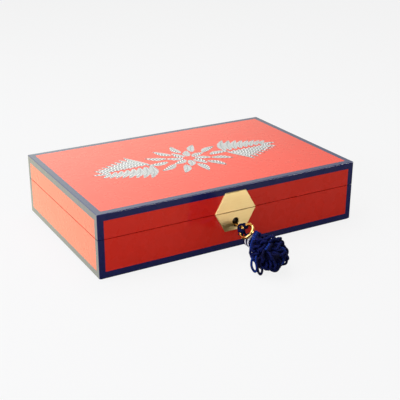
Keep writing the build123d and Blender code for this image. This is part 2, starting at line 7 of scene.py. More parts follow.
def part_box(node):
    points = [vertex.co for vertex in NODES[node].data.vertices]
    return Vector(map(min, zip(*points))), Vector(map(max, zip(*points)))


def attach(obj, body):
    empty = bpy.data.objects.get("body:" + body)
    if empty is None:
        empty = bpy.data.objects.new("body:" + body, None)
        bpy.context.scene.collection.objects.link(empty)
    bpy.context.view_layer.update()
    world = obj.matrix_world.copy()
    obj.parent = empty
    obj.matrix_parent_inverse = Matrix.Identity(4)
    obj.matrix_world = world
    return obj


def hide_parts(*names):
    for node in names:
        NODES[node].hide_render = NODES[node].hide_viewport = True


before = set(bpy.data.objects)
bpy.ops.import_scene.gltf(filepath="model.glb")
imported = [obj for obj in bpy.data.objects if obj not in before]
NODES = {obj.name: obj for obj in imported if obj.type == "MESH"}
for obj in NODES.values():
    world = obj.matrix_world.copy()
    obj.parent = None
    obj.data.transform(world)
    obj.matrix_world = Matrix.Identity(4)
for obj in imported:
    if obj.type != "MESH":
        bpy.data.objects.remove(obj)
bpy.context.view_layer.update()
MM = 0.001

# Sizes repeated from the solids, in metres
HALF_X, HALF_Y, HEIGHT = 0.159, 0.102, 0.071
KEY_HEIGHT = 0.0283
SHAFT_RADIUS = 0.0018
CORD = 0.0012
BOW_RADIUS = 0.0079
BOW_Y = -0.12575
NECK_RADIUS = 0.00445
NECK_HALF = 0.0066
WRAP_RADIUS = 0.00575
TURN_RISE = 0.00574
SKIRT_RADIUS = 0.0198
SKIRT_HALF = 0.0245
HANG_SPREAD = 0.0019
HANG_GAP = 0.0003
HANG_Y = -0.11465
ROLL_COUNT = 9
ROLL_ROW = 0.1808

# Sizes that differ from the solids or that no solid has, lengths in metres
BORDER = 0.0070
BORDER_Z = 0.0077
# Where the painted shade in the keyhole's bore lies
BORE_HEIGHT, BORE_RADIUS = 0.0305, 0.0066
BORE_FRONT, BORE_BACK = -0.1017, -0.0900
STRAND_LENGTH = 2 * CORD * 2.2
WINDING_START = -0.0032
WINDING_ANGLE = math.radians(50)
HITCH_RADIUS = 0.0025
ROLL_GAP = 0.0003
HATCH = 0.0040
PRINT_LIFT = 0.00006
BACKDROP = (0.922, 0.922, 0.922)


# Camera
def make_camera():
    """Without lens shift, fitted to the corners of the box."""
    azimuth, elevation, roll = (math.radians(a) for a in (-29.63, 22.35, 0.17))
    target = Vector((-43.28, -102.0, 63.99)) * MM
    distance = 0.87049
    back = Vector((math.sin(azimuth) * math.cos(elevation),
                   -math.cos(azimuth) * math.cos(elevation), math.sin(elevation)))
    forward = -back
    right = forward.cross(Vector((0, 0, 1))).normalized()
    up = right.cross(forward)
    right2 = right * math.cos(roll) + up * math.sin(roll)
    up2 = -right * math.sin(roll) + up * math.cos(roll)
    camera = bpy.data.objects.new("camera", bpy.data.cameras.new("camera"))
    camera.data.sensor_width = 36.0
    camera.data.lens = 75.456
    camera.data.clip_start = 0.01
    camera.data.clip_end = 50
    m = Matrix((right2, up2, back)).transposed().to_4x4()
    m.translation = target + back * distance
    camera.matrix_world = m
    bpy.context.scene.collection.objects.link(camera)
    bpy.context.scene.camera = camera


make_camera()
bpy.context.scene.view_settings.view_transform = "Standard"


# Shader helpers
class Nodes:
    def __init__(self, name):
        self.mat = bpy.data.materials.new(name)
        self.mat.use_nodes = True
        self.tree = self.mat.node_tree
        self.tree.nodes.clear()
        self.out = self.add("ShaderNodeOutputMaterial")
        self.bsdf = self.add("ShaderNodeBsdfPrincipled")
        self.link(self.bsdf.outputs[0], self.out.inputs["Surface"])
        self.coords = self.add("ShaderNodeTexCoord")

    def add(self, kind, **settings):
        node = self.tree.nodes.new(kind)
        for key, value in settings.items():
            setattr(node, key, value)
        return node

    def link(self, a, b):
        self.tree.links.new(a, b)

    def put(self, node, name, value):
        if isinstance(value, bpy.types.NodeSocket):
            self.link(value, node.inputs[name])
        elif value is not None:
            node.inputs[name].default_value = value

    def math(self, operation, a, b=None, clamp=False):
        node = self.add("ShaderNodeMath", operation=operation, use_clamp=clamp)
        for n, value in enumerate((a, b)):
            self.put(node, n, value)
        return node.outputs[0]

    def split(self, vector=None):
        node = self.add("ShaderNodeSeparateXYZ")
        self.link(vector or self.coords.outputs["Object"], node.inputs[0])
        return node.outputs

    def noise(self, scale, detail=3.0, rough=0.5, stretch=None):
        source = self.coords.outputs["Object"]
        if stretch:
            mapping = self.add("ShaderNodeMapping")
            mapping.inputs["Scale"].default_value = stretch
            self.link(source, mapping.inputs[0])
            source = mapping.outputs[0]
        node = self.add("ShaderNodeTexNoise")
        self.link(source, node.inputs["Vector"])
        node.inputs["Scale"].default_value = scale
        node.inputs["Detail"].default_value = detail
        node.inputs["Roughness"].default_value = rough
        return node.outputs["Fac"]

    def ramp(self, factor, stops):
        node = self.add("ShaderNodeValToRGB")
        elements = node.color_ramp.elements
        while len(elements) < len(stops):
            elements.new(0.5)
        for element, (place, colour) in zip(elements, stops):
            element.position = place
            element.color = (*colour, 1)
        self.link(factor, node.inputs[0])
        return node.outputs[0]

    def mix(self, factor, a, b):
        node = self.add("ShaderNodeMix", data_type="RGBA")
        self.put(node, 0, factor)
        for place, value in ((6, a), (7, b)):
            if isinstance(value, bpy.types.NodeSocket):
                self.link(value, node.inputs[place])
            else:
                node.inputs[place].default_value = (*value, 1)
        return node.outputs[2]

    def range(self, value, low, high, to_low, to_high):
        node = self.add("ShaderNodeMapRange")
        self.put(node, 0, value)
        for n, v in enumerate((low, high, to_low, to_high)):
            node.inputs[n + 1].default_value = v
        return node.outputs[0]

    def bump(self, height, distance, strength):
        node = self.add("ShaderNodeBump")
        node.inputs["Strength"].default_value = strength
        node.inputs["Distance"].default_value = distance
        self.link(height, node.inputs["Height"])
        return node.outputs[0]

    def finish(self, **sockets):
        for name, value in sockets.items():
            name = name.replace("_", " ")
            if isinstance(value, tuple) and len(value) == 3:
                value = (*value, 1)
            self.put(self.bsdf, name, value)
        return self.mat


def lacquer():
    """Gloss lacquer, orange-red, navy along the outer edges, with painted shade in the keyhole's
    bore.
    """
    m = Nodes("lacquer")
    x, y, z = m.split()
    soft = 0.00012

    def near(value, half, middle=0.0, width=BORDER):
        reach = m.math("ABSOLUTE", m.math("SUBTRACT", value, middle))
        return m.range(reach, half - width - soft, half - width + soft, 0, 1)

    count = m.math("ADD", near(x, HALF_X), near(y, HALF_Y))
    count = m.math("ADD", count, near(z, HEIGHT / 2, HEIGHT / 2, BORDER_Z))
    band = m.math("SUBTRACT", count, 1.0, clamp=True)
    wave = m.noise(9.0, 2.0)
    red = m.ramp(wave, [(0.35, (0.80, 0.015, 0.006)), (0.65, (0.84, 0.019, 0.008))])
    navy = m.ramp(wave, [(0.35, (0.005, 0.008, 0.092)), (0.65, (0.007, 0.010, 0.105))])
    colour = m.mix(band, red, navy)
    # Painted shade: the keyhole's bore behind the plate is painted near black.
    side = m.math("POWER", x, 2.0)
    rise = m.math("POWER", m.math("SUBTRACT", z, BORE_HEIGHT), 2.0)
    bore_shade = m.math("LESS_THAN", m.math("ADD", side, rise), BORE_RADIUS ** 2)
    bore_shade = m.math("MULTIPLY", bore_shade, m.math("GREATER_THAN", y, BORE_FRONT))
    bore_shade = m.math("MULTIPLY", bore_shade, m.math("LESS_THAN", y, BORE_BACK))
    colour = m.mix(bore_shade, colour, (0.010, 0.006, 0.004))
    haze = m.noise(60.0, 4.0)
    peel = m.noise(160.0, 1.0)
    return m.finish(Base_Color=colour, Roughness=m.range(haze, 0.3, 0.7, 0.24, 0.32),
                    Specular_IOR_Level=0.15, Coat_Weight=1.0, Coat_Roughness=0.02, Coat_IOR=1.6,
                    Normal=m.bump(peel, 0.000004, 0.12))


def brushed_brass():
    m = Nodes("brushed_brass")
    hair = m.noise(900.0, 5.0, 0.7, stretch=(0.05, 1.0, 1.0))
    cloud = m.noise(60.0, 3.0)
    tone = m.ramp(m.math("ADD", m.math("MULTIPLY", hair, 0.6), m.math("MULTIPLY", cloud, 0.4)),
                  [(0.30, (0.92, 0.64, 0.29)), (0.70, (1.0, 0.76, 0.38))])
    return m.finish(Base_Color=tone, Metallic=1.0, Roughness=m.range(hair, 0.3, 0.7, 0.40, 0.50),
                    Normal=m.bump(hair, 0.00002, 0.5))


def polished_brass(name, low, high, rough):
    m = Nodes(name)
    cloud = m.noise(140.0, 4.0)
    fine = m.noise(1500.0, 2.0)
    tone = m.ramp(cloud, [(0.30, low), (0.70, high)])
    return m.finish(Base_Color=tone, Metallic=1.0,
                    Roughness=m.range(cloud, 0.3, 0.7, rough, rough + 0.08),
                    Normal=m.bump(fine, 0.000008, 0.4))


def steel():
    m = Nodes("lock_steel")
    grain = m.noise(700.0, 4.0, 0.6, stretch=(0.1, 1.0, 1.0))
    # Painted shade: the lock's steel is near black so that the keyhole reads dark.
    tone = m.ramp(grain, [(0.3, (0.05, 0.05, 0.05)), (0.7, (0.09, 0.09, 0.09))])
    return m.finish(Base_Color=tone, Metallic=1.0, Roughness=m.range(grain, 0.3, 0.7, 0.30, 0.45),
                    Normal=m.bump(grain, 0.00001, 0.4))


def suede():
    m = Nodes("suede")
    nap = m.noise(45.0, 3.0)
    fibre = m.noise(1600.0, 4.0, 0.7)
    tone = m.ramp(nap, [(0.30, (0.50, 0.43, 0.34)), (0.70, (0.64, 0.56, 0.45))])
    fleck = m.ramp(fibre, [(0.35, (0.40, 0.34, 0.26)), (0.65, (0.74, 0.66, 0.54))])
    tone = m.mix(0.35, tone, fleck)
    return m.finish(Base_Color=tone, Roughness=0.95, Sheen_Weight=0.5, Sheen_Roughness=0.4,
                    Normal=m.bump(fibre, 0.00008, 0.6))


def board():
    m = Nodes("board")
    fibre = m.noise(260.0, 5.0, 0.6, stretch=(0.25, 1.0, 1.0))
    tone = m.ramp(fibre, [(0.30, (0.40, 0.29, 0.18)), (0.70, (0.56, 0.43, 0.28))])
    return m.finish(Base_Color=tone, Roughness=0.75, Normal=m.bump(fibre, 0.00005, 0.5))


def felt():
    m = Nodes("felt")
    fibre = m.noise(1400.0, 4.0, 0.75)
    tone = m.ramp(fibre, [(0.30, (0.012, 0.013, 0.020)), (0.70, (0.045, 0.047, 0.060))])
    return m.finish(Base_Color=tone, Roughness=0.97, Sheen_Weight=0.4, Sheen_Roughness=0.5,
                    Normal=m.bump(fibre, 0.0001, 0.7))


def bumper():
    m = Nodes("bumper")
    cloud = m.noise(300.0, 2.0)
    tone = m.ramp(cloud, [(0.3, (0.62, 0.62, 0.58)), (0.7, (0.74, 0.74, 0.70))])
    return m.finish(Base_Color=tone, Roughness=0.35, Normal=m.bump(cloud, 0.00001, 0.3))


def cord_material(name, dark, light):
    """Twisted cord: strands run slantwise along the cord, from its own UV, with painted shade in
    the grooves between them and a painted highlight on their crests.
    """
    m = Nodes(name)
    uv = m.split(m.coords.outputs["UV"])
    lay = m.math("MULTIPLY", m.math("ADD", uv[0], uv[1]), 3 * math.pi)
    strand = m.math("ABSOLUTE", m.math("SINE", lay))
    fibre = m.noise(2600.0, 3.0, 0.6)
    # Painted shade in the grooves between strands, painted highlight on their crests.
    tone = m.ramp(strand, [(0.0, tuple(c * 0.45 for c in dark)), (0.45, dark), (1.0, light)])
    tone = m.mix(0.25, tone, m.ramp(fibre, [(0.35, dark), (0.65, light)]))
    height = m.math("ADD", strand, m.math("MULTIPLY", fibre, 0.35))
    return m.finish(Base_Color=tone, Roughness=0.8, Specular_IOR_Level=0.08,
                    Normal=m.bump(height, 0.00022, 0.9))


def ornament_material():
    """White print with fine grey hatching that follows each leaf's own UV."""
    m = Nodes("ornament")
    uv = m.split(m.coords.outputs["UV"])
    off_rib = m.math("ABSOLUTE", uv[1])
    slant = m.math("ADD", uv[0], m.math("MULTIPLY", off_rib, 0.9))
    line = m.math("SINE", m.math("MULTIPLY", slant, 2 * math.pi / HATCH))
    rib = m.range(off_rib, 0.00015, 0.00035, 1, 0)
    ink = m.math("MAXIMUM", m.range(line, -0.15, 0.15, 0, 1), rib)
    cloud = m.noise(80.0, 2.0)
    pale = m.ramp(cloud, [(0.3, (0.80, 0.80, 0.79)), (0.7, (0.88, 0.88, 0.87))])
    colour = m.mix(m.math("MULTIPLY", ink, 0.92), pale, (0.04, 0.04, 0.05))
    return m.finish(Base_Color=colour, Roughness=0.30, Specular_IOR_Level=0.15, Coat_Weight=0.8,
                    Coat_Roughness=0.03, Normal=m.bump(cloud, 0.000004, 0.4))


MATS = {
    "lacquer": lacquer(), "board": board(), "felt": felt(), "suede": suede(),
    "hinge_brass": polished_brass("hinge_brass", (0.70, 0.47, 0.18), (0.84, 0.61, 0.28), 0.18),
    "screw_brass": polished_brass("screw_brass", (0.62, 0.42, 0.16), (0.80, 0.57, 0.25), 0.25),
    "plate_brass": brushed_brass(),
    "key_brass": polished_brass("key_brass", (0.62, 0.34, 0.11), (0.84, 0.52, 0.20), 0.10),
    # A darker copy of the key's brass for the shaft: painted shade.
    "shaded_stem_brass": polished_brass("shaded_stem_brass", (0.55, 0.29, 0.085), (0.74, 0.43, 0.145), 0.20),
    "lock_steel": steel(), "bumper": bumper(),
    "blue_cord": cord_material("blue_cord", (0.0012, 0.0015, 0.022), (0.004, 0.009, 0.085)),
    # A lighter copy of the blue cord, a painted highlight on the loops that wear it.
    "lit_blue_cord": cord_material("lit_blue_cord", (0.003, 0.008, 0.065), (0.009, 0.037, 0.255)),
    "black_cord": cord_material("black_cord", (0.0015, 0.0015, 0.012), (0.004, 0.005, 0.045)),
    "white_cord": cord_material("white_cord", (0.62, 0.62, 0.62), (0.90, 0.90, 0.89)),
    "ornament": ornament_material(),
}
WEARS = {
    "lacquer": ["base_front_wall", "base_back_wall", "base_left_wall", "base_right_wall",
                "lid_front_wall", "lid_back_wall", "lid_left_wall", "lid_right_wall",
                "lid_top_panel"],
    "board": ["base_panel"],
    "felt": ["base_felt"],
    "suede": ["floor_lining", "front_lining", "back_lining", "left_lining", "right_lining",
              "lid_front_lining", "lid_back_lining", "lid_left_lining", "lid_right_lining",
              "lid_pad", "ring_bay_divider", "long_divider", "cross_divider", "ring_rolls"],
    "hinge_brass": ["left_hinge_base_leaf", "right_hinge_base_leaf", "left_hinge_lid_leaf",
                    "right_hinge_lid_leaf", "left_hinge_pin", "right_hinge_pin", "lock_cover",
                    "lock_staple"],
    "screw_brass": ["hinge_base_screws", "hinge_lid_screws", "lock_cover_screws", "staple_screws"],
    "plate_brass": ["lower_lock_plate", "upper_lock_plate"],
    "key_brass": ["key_bow"],
    "shaded_stem_brass": ["key_stem"],
    "lock_steel": ["lock_case", "lock_follower", "lock_bolt"],
    "bumper": ["lid_bumpers"],
    "blue_cord": ["tassel_skirt", "hang_cord"],
    "black_cord": ["wrap_dark"],
    "white_cord": ["wrap_light"],
}
for slot, nodes in WEARS.items():
    for node in nodes:
        data = NODES[node].data
        data.materials.clear()
        data.materials.append(MATS[slot])


# Mesh helpers
def make_object(name, verts, faces, material, uvs=None):
    mesh = bpy.data.meshes.new(name)
    mesh.from_pydata([tuple(v) for v in verts], [], faces)
    mesh.materials.append(material)
    mesh.polygons.foreach_set("use_smooth", [True] * len(mesh.polygons))
    if uvs:
        layer = mesh.uv_layers.new(name="UVMap")
        for loop in mesh.loops:
            layer.data[loop.index].uv = uvs[loop.vertex_index]
    mesh.update()
    piece = bpy.data.objects.new(name, mesh)
    bpy.context.scene.collection.objects.link(piece)
    return piece


def tube_faces(rings, sides):
    """Faces of a closed tube whose vertices come ring by ring."""
    faces = []
    for n in range(rings):
        for k in range(sides):
            a, b = n * sides + k, n * sides + (k + 1) % sides
            faces.append((a, b, b + sides, a + sides))
    faces.append(tuple(reversed(range(sides))))
    faces.append(tuple(rings * sides + k for k in range(sides)))
    return faces


class Tubes:
    """Collects cords along points into one mesh, each with strands in its UV."""

    def __init__(self, sides):
        self.sides = sides
        self.verts, self.faces, self.uvs, self.slots = [], [], [], []

    def add(self, points, radius, slot=0):
        points = [Vector(p) for p in points]
        count = len(points)
        tangents = []
        for n in range(count):
            a, b = points[max(n - 1, 0)], points[min(n + 1, count - 1)]
            tangents.append((b - a).normalized())
        side = tangents[0].orthogonal().normalized()
        first = len(self.verts)
        travel = 0.0
        for n, (point, way) in enumerate(zip(points, tangents)):
            if n:
                side = (side - way * side.dot(way)).normalized()
                travel += (point - points[n - 1]).length
            up = way.cross(side)
            for k in range(self.sides + 1):
                angle = 2 * math.pi * k / self.sides
                self.verts.append(point + (side * math.cos(angle) + up * math.sin(angle)) * radius)
                self.uvs.append((travel / STRAND_LENGTH, k / self.sides))
        for n in range(count - 1):
            for k in range(self.sides):
                a = first + n * (self.sides + 1) + k
                b = a + self.sides + 1
                self.faces.append((a, a + 1, b + 1, b))
                self.slots.append(slot)
        for end in (0, count - 1):
            ring = [first + end * (self.sides + 1) + k for k in range(self.sides)]
            self.faces.append(tuple(reversed(ring)) if end == 0 else tuple(ring))
            self.slots.append(slot)

    def build(self, name, *materials):
        piece = make_object(name, self.verts, self.faces, materials[0], uvs=self.uvs)
        for material in materials[1:]:
            piece.data.materials.append(material)
        piece.data.polygons.foreach_set("material_index", self.slots)
        return piece


def smooth_line(points, steps):
    """Catmull-Rom through the points."""
    points = [Vector(p) for p in points]
    full = [points[0] * 2 - points[1]] + points + [points[-1] * 2 - points[-2]]
    line = []
    for n in range(1, len(full) - 2):
        p0, p1, p2, p3 = full[n - 1:n + 3]
        for s in range(steps):
            t = s / steps
            line.append(0.5 * (2 * p1 + (p2 - p0) * t + (2 * p0 - 5 * p1 + 4 * p2 - p3) * t * t
                               + (3 * p1 - p0 - 3 * p2 + p3) * t ** 3))
    line.append(points[-1])
    return line


# The tassel's own frame. Its neck stands 1.9 mm from the solid's, mostly higher
NECK = Vector((3.6, -126.4, 17.6)) * MM
SKIRT = Vector((1.5, -166.0, 20.0)) * MM
AXIS_Z = (SKIRT - NECK).normalized()
AXIS_X = (Vector((1, 0, 0)) - AXIS_Z * AXIS_Z.x).normalized()
AXIS_Y = AXIS_Z.cross(AXIS_X)
MIDDLE = (SKIRT - NECK).length


def from_tassel(p):
    return NECK + AXIS_X * p[0] + AXIS_Y * p[1] + AXIS_Z * p[2]


# Tassel: windings
def make_windings():
    """Cords fuller than the solids' windings, the dark one with half a turn more."""
    steps_in_turn, fuller = 48, 1.14
    for name, node, turns, start, slot in (
            ("winding_dark", "wrap_dark", 2.5, WINDING_START, "black_cord"),
            ("winding_light", "wrap_light", 1.5, WINDING_START + TURN_RISE / 2, "white_cord")):
        tubes = Tubes(14)
        steps = int(steps_in_turn * turns)
        line = []
        for n in range(steps + 1):
            turned = 2 * math.pi * turns * n / steps
            a = WINDING_ANGLE + turned
            z = start + TURN_RISE * turned / (2 * math.pi)
            line.append(from_tassel((WRAP_RADIUS * math.cos(a), WRAP_RADIUS * math.sin(a), z)))
        tubes.add(line, CORD * fuller)
        piece = tubes.build(name, MATS[slot])
        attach(piece, "tassel")
        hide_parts(node)


# Tassel: core and loops
# Loops traced from the photograph: colour of the cord, and points in millimetres,
# worked out beforehand from the traced places and the camera
BLUE, BLACK, LIT_BLUE = 0, 1, 2
TRACED_LOOPS = (
    (LIT_BLUE, ((-19.5, -167.8, 19.5), (-20.2, -167.4, 16.2), (-20.3, -167.3, 11.6),
             (-19.3, -167.9, 7.4), (-17.1, -169.2, 4.2), (-15.5, -170.1, 6.5),
             (-15.9, -169.8, 11.6), (-16.7, -169.4, 15.9), (-15.0, -168.0, 21.0))),
    (BLACK, ((-15.3, -170.3, 20.5), (-15.5, -171.2, 16.0), (-15.1, -171.4, 11.4),
             (-15.1, -171.4, 7.0), (-14.2, -171.9, 3.4), (-12.5, -172.9, 1.7), (-11.3, -173.6, 5.2),
             (-11.7, -173.3, 10.1), (-12.7, -172.8, 14.5), (-11.4, -170.4, 20.3))),
    (LIT_BLUE, ((9.0, -136.0, 24.0), (8.1, -132.3, 28.5), (3.8, -134.7, 27.7), (-0.9, -138.9, 23.6),
             (-5.3, -142.5, 18.6), (-8.8, -147.4, 14.6), (-10.5, -153.1, 11.1),
             (-8.7, -158.2, 7.7))),
    (LIT_BLUE, ((9.5, -138.0, 25.0), (8.9, -134.3, 28.0), (4.8, -136.3, 27.7), (0.4, -140.1, 23.6),
             (-3.4, -144.1, 18.6), (-6.5, -149.1, 14.6), (-8.2, -154.8, 11.1),
             (-7.2, -158.9, 9.0))),
    (BLUE, ((10.5, -140.0, 25.0), (9.5, -136.3, 27.6), (5.8, -137.9, 27.0), (1.8, -141.3, 23.6),
            (-1.2, -145.6, 18.6), (-4.0, -150.7, 14.6), (-5.7, -156.4, 11.1),
            (-5.2, -159.6, 10.3))),
)


def make_core():
    """The body inside the loops, black as a painted shade: neck, flare and a smaller skirt."""
    shorter, slimmer, least = 0.0075, 0.0078, 0.0004
    flare_start, flare_length, flare = 0.008, 0.020, 0.0066
    strands_along, strands_around = 300, 8
    rings, sides = 30, 36
    verts, uvs = [], []
    for n in range(rings + 1):
        z = -NECK_HALF + n / rings * (MIDDLE + SKIRT_HALF - shorter + NECK_HALF)
        u = (z - MIDDLE) / (SKIRT_HALF - shorter)
        body = (SKIRT_RADIUS - slimmer) * math.sqrt(1 - u * u) if abs(u) < 1 else 0
        flared = flare * max((z - flare_start) / flare_length, 0)
        neck = NECK_RADIUS + flared if z < flare_start + flare_length else 0
        r = max(body, neck, least)
        for k in range(sides):
            a = 2 * math.pi * k / sides
            verts.append(from_tassel((r * math.cos(a), r * math.sin(a), z)))
            uvs.append((z * strands_along, k / sides * strands_around))
    faces = tube_faces(rings, sides)
    # Black cord on the core: painted shade inside the skirt.
    piece = make_object("skirt_core", verts, faces, MATS["black_cord"], uvs=uvs)
    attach(piece, "tassel")
    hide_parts("tassel_skirt")


def make_loops():
    """Loops of cord spread over the skirt, and then the traced ones."""
    random.seed(7)
    tubes = Tubes(9)
    golden = math.pi * (3 - math.sqrt(5))
    above_table = 0.0003

    def lay(line, radius, slot):
        points = []
        for p in smooth_line(line, 6):
            p.z = max(p.z, radius + above_table)
            points.append(p)
        tubes.add(points, radius, slot=slot)

    count = 84
    middle = Vector((0, 0, MIDDLE))
    for n in range(count):
        lift = 0.98 - 1.60 * n / (count - 1)
        ring = math.sqrt(max(0.0, 1 - lift * lift))
        turn = n * golden + random.uniform(-0.25, 0.25)
        reach = random.uniform(0.88, 1.02)
        tip = Vector((SKIRT_RADIUS * ring * math.cos(turn), SKIRT_RADIUS * ring * math.sin(turn),
                      SKIRT_HALF * lift)) * reach
        way = Vector((ring * math.cos(turn) / SKIRT_RADIUS, ring * math.sin(turn) / SKIRT_RADIUS,
                      lift / SKIRT_HALF)).normalized()
        across = way.orthogonal().normalized()
        across = across * math.cos(n * 1.9) + way.cross(across) * math.sin(n * 1.9)
        third = way.cross(across)
        half = random.uniform(0.0028, 0.0042)
        lean = third * random.uniform(-0.0035, 0.0035)
        tip += middle - way * CORD
        root = middle + (tip - middle) * 0.35 - Vector((0, 0, 0.004))
        low, high = root.lerp(tip, 0.40), root.lerp(tip, 0.75)
        turned_in = tip - way * half * 0.30 + lean
        foot, narrow, wide = across * 0.0010, across * half * 0.75, across * half * 1.05
        line = [root - foot, low - narrow, high - wide + lean * 0.6, turned_in - narrow, tip + lean,
                turned_in + narrow, high + wide + lean * 0.6, low + narrow, root + foot]
        # Some loops wear the lighter copy of the blue cord as a painted highlight.
        slot = BLACK if n % 4 == 2 else (LIT_BLUE if n % 11 == 5 else BLUE)
        lay([from_tassel(p) for p in line], CORD * random.uniform(1.04, 1.18), slot)

    for slot, line in TRACED_LOOPS:
        lay([Vector(p) * MM for p in line], CORD * 1.08, slot)
    piece = tubes.build("skirt_loops", MATS["blue_cord"], MATS["black_cord"], MATS["lit_blue_cord"])
    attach(piece, "tassel")
    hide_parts("tassel_skirt")


# Cord between key and tassel
def make_hang_cord():
    """Up from the neck, over the key's shaft and down again."""
    left_end = from_tassel((-HANG_SPREAD, 0, -NECK_HALF))
    right_end = from_tassel((HANG_SPREAD, 0, -NECK_HALF))
    x = SHAFT_RADIUS + HANG_GAP + CORD
    run = (HANG_Y - left_end.y) / -AXIS_Z.y
    left_out, right_out = left_end - AXIS_Z * run, right_end - AXIS_Z * run
    top, shoulder = KEY_HEIGHT + x, KEY_HEIGHT - x
    route = [left_end, left_out, Vector((-x, HANG_Y, shoulder)), Vector((-x, HANG_Y, top)),
             Vector((x, HANG_Y, top)), Vector((x, HANG_Y, shoulder)), right_out, right_end]
    data = bpy.data.curves.new("key_cord", "CURVE")
    data.dimensions = "3D"
    spline = data.splines.new("NURBS")
    spline.points.add(len(route) - 1)
    for point, place in zip(spline.points, route):
        point.co = (*place, 1)
    spline.order_u = 3
    spline.use_endpoint_u = True
    spline.resolution_u = 12
    data.bevel_depth = CORD
    data.bevel_resolution = 4
    data.use_fill_caps = True
    data.materials.append(MATS["blue_cord"])
    piece = bpy.data.objects.new("key_cord", data)
    bpy.context.scene.collection.objects.link(piece)
    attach(piece, "tassel")
    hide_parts("hang_cord")


def make_hitches():
    """The turns of cord round the key's ring, where it meets the shaft."""
    centre, back = Vector((0, BOW_Y, KEY_HEIGHT)), Vector((0, 1, 0))
    out = Vector((math.sqrt(0.5), 0, math.sqrt(0.5)))
    across = back.cross(out)
    for name, low, high, turns, slot in (("cord_hitch_blue", 316, 352, 2.4, "blue_cord"),
                                         ("cord_hitch_black", 14, 40, 1.6, "black_cord")):
        line, steps = [], 72
        for n in range(steps + 1):
            t = n / steps
            a = math.radians(low + (high - low) * t)
            way = back * math.cos(a) + out * math.sin(a)
            b = 2 * math.pi * turns * t
            line.append(centre + way * (BOW_RADIUS + HITCH_RADIUS * math.cos(b))
                        + across * (HITCH_RADIUS * math.sin(b)))
        tubes = Tubes(12)
        tubes.add(line, CORD)
        piece = tubes.build(name, MATS[slot])
        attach(piece, "key")


make_windings()
make_core()
make_loops()
make_hang_cord()
make_hitches()


# Lid ornament: a rosette with two sprays of leaves
def leaf(verts, faces, uvs, base, angle, size, width, lift):
    """A pointed leaf, in mirrored halves, with UV in metres along and across it."""
    steps = 14
    way = Vector((math.cos(angle), math.sin(angle), 0))
    across = Vector((-math.sin(angle), math.cos(angle), 0))
    first = len(verts)
    for n in range(steps + 1):
        t = n / steps
        half = width * (math.sin(math.pi * t ** 0.8)) ** 0.85 if 0 < n < steps else 0.0
        bend = across * (0.08 * size * math.sin(math.pi * t))
        spot = base + way * (size * t) + bend
        for s in (-1, 0, 1):
            verts.append(spot + across * (half * s) + Vector((0, 0, lift)))
            uvs.append((size * t, half * s))
    for n in range(steps):
        for s in (0, 1):
            a = first + n * 3 + s
            faces.append((a, a + 3, a + 4, a + 1))


def make_ornament():
    """Leaves that overlap, each in one of the thin layers of the print."""
    verts, faces, uvs = [], [], []
    top = HEIGHT + PRINT_LIFT
    layer, layers_height = 0.000012, 0.00012
    lift = 0.0

    def put(x, y, angle, size, width):
        nonlocal lift
        lift = (lift + layer) % layers_height
        leaf(verts, faces, uvs, Vector((x, y, top)), angle, size, width, lift)

    # Rosette: count, turn of the first leaf, reach in x and y, length of a leaf
    for count, turn, reach_x, reach_y, size in ((8, 0.5, 0.006, 0.006, 0.021),
                                                (12, 0.0, 0.027, 0.020, 0.027)):
        for n in range(count):
            angle = 2 * math.pi * (n + turn) / count
            put(reach_x * math.cos(angle), reach_y * math.sin(angle), angle, size, 0.0046)

    # Sprays: pairs of leaves that get smaller outwards, and one at the end
    pairs = 8
    for sign in (-1, 1):
        for k in range(pairs):
            t = k / (pairs - 1)
            x = 0.050 + 0.050 * t
            size = 0.040 - 0.022 * t
            width = 0.0050 - 0.0020 * t
            for side in (-1, 1):
                lean = side * (1.15 - 0.40 * t)
                angle = lean if sign > 0 else math.pi - lean
                put(sign * x, side * 0.0012, angle, size, width)
        put(sign * 0.099, 0, 0 if sign > 0 else math.pi, 0.022, 0.0030)
    piece = make_object("lid_ornament", verts, faces, MATS["ornament"], uvs=uvs)
    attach(piece, "lid")


make_ornament()


# Padded parts
def pillow(low, high, crown, nx, ny):
    """A closed cushion in a box: full in the middle, drawn in along its rim."""
    verts, faces = [], []
    middle = (low[2] + high[2]) / 2
    for level in (0, 1):
        for i in range(nx + 1):
            for j in range(ny + 1):
                u, v = i / nx, j / ny
                x = low[0] + (high[0] - low[0]) * u
                y = low[1] + (high[1] - low[1]) * v
                edge = min(u, 1 - u) * (high[0] - low[0])
                edge = min(edge, min(v, 1 - v) * (high[1] - low[1]))
                rise = 1 - math.exp(-edge / crown)
                z = low[2] if level == 0 else middle + (high[2] - middle) * rise
                verts.append((x, y, z))
    size = (nx + 1) * (ny + 1)
    for level in (0, 1):
        for i in range(nx):
            for j in range(ny):
                a = level * size + i * (ny + 1) + j
                quad = (a, a + ny + 1, a + ny + 2, a + 1)
                faces.append(quad if level else tuple(reversed(quad)))
    rim = [i * (ny + 1) for i in range(nx + 1)] + [nx * (ny + 1) + j for j in range(1, ny + 1)]
    rim += [i * (ny + 1) + ny for i in range(nx - 1, -1, -1)] + [j for j in range(ny - 1, 0, -1)]
    for a, b in zip(rim, rim[1:] + rim[:1]):
        faces.append((a, b, b + size, a + size))
    return verts, faces


def make_lid_pad():
    low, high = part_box("lid_pad")
    verts, faces = pillow((low.x, low.y, 0), (high.x, high.y, high.z - low.z),
                          crown=0.004, nx=60, ny=40)
    flipped = [(x, y, high.z - z) for x, y, z in verts]
    faces = [tuple(reversed(f)) for f in faces]
    piece = make_object("lid_cushion", flipped, faces, MATS["suede"])
    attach(piece, "lid")
    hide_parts("lid_pad")


